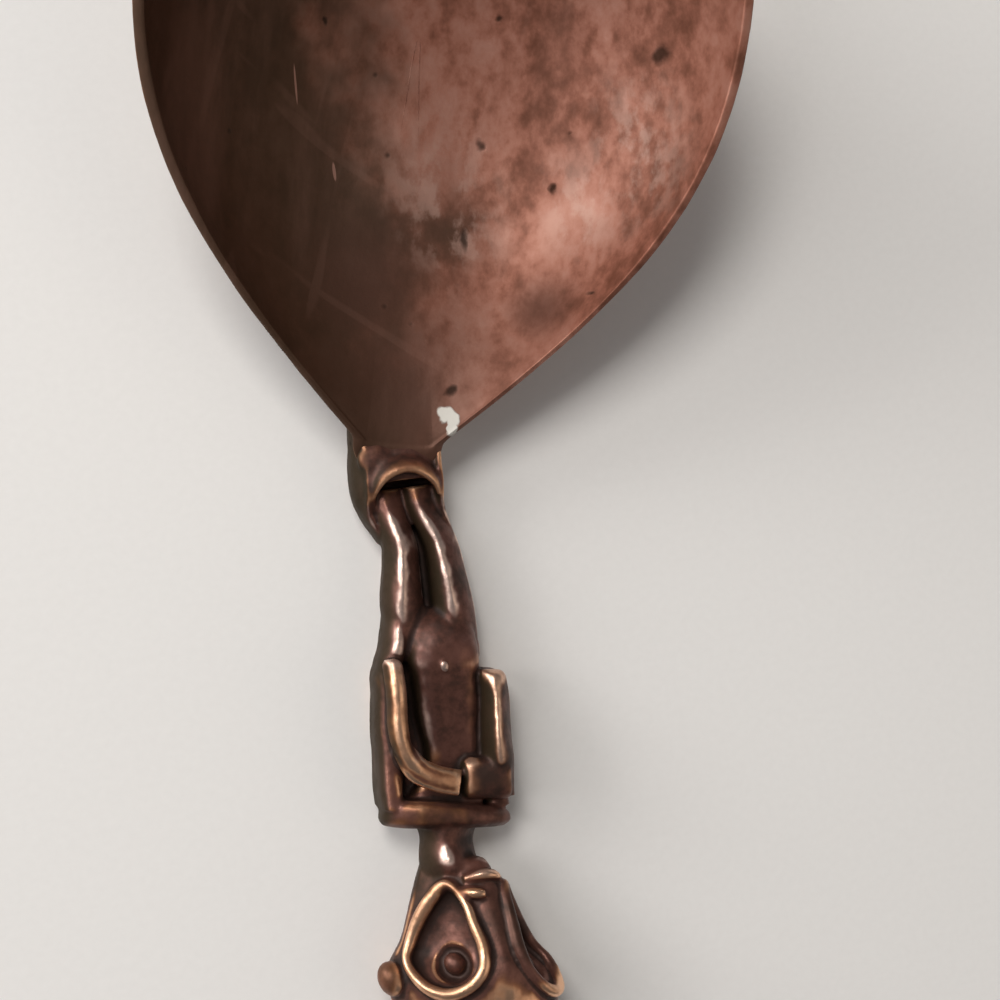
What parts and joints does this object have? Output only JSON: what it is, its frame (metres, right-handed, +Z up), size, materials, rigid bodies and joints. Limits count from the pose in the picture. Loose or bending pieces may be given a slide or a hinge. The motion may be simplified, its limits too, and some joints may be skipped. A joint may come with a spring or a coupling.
{
  "type": "spoon",
  "caption": "Cast metal spoon with a deep oval bowl, whose handle is a standing figure with bent arms and ringed eyes.",
  "frame": {"origin": "middle of the worn flat on the underside of the bowl, on the table that the spoon lies on", "axes": "+Z up from the table, +Y along the handle from the head toward the bowl, +X to the figure's right"},
  "size_m": [0.073, 0.1673, 0.0451],
  "materials": {
    "cast_metal": "brown patina on a cast copper alloy, satin",
    "worn_metal": "brown patina rubbed to golden metal on the high places"
  },
  "bodies": {
    "root": {"bowl": "cast_metal", "foot_cuff": "worn_metal", "left_leg": "cast_metal", "right_leg": "cast_metal", "trunk": "cast_metal", "left_arm": "worn_metal", "right_arm": "worn_metal", "shoulder_yoke": "worn_metal", "neck": "cast_metal", "head": "cast_metal", "left_eye_ring": "worn_metal", "right_eye_ring": "worn_metal", "left_eye_bead": "cast_metal", "right_eye_bead": "cast_metal", "left_ear": "worn_metal", "right_ear": "worn_metal", "lower_lip": "worn_metal", "upper_lip": "worn_metal"}
  },
  "joints": []
}
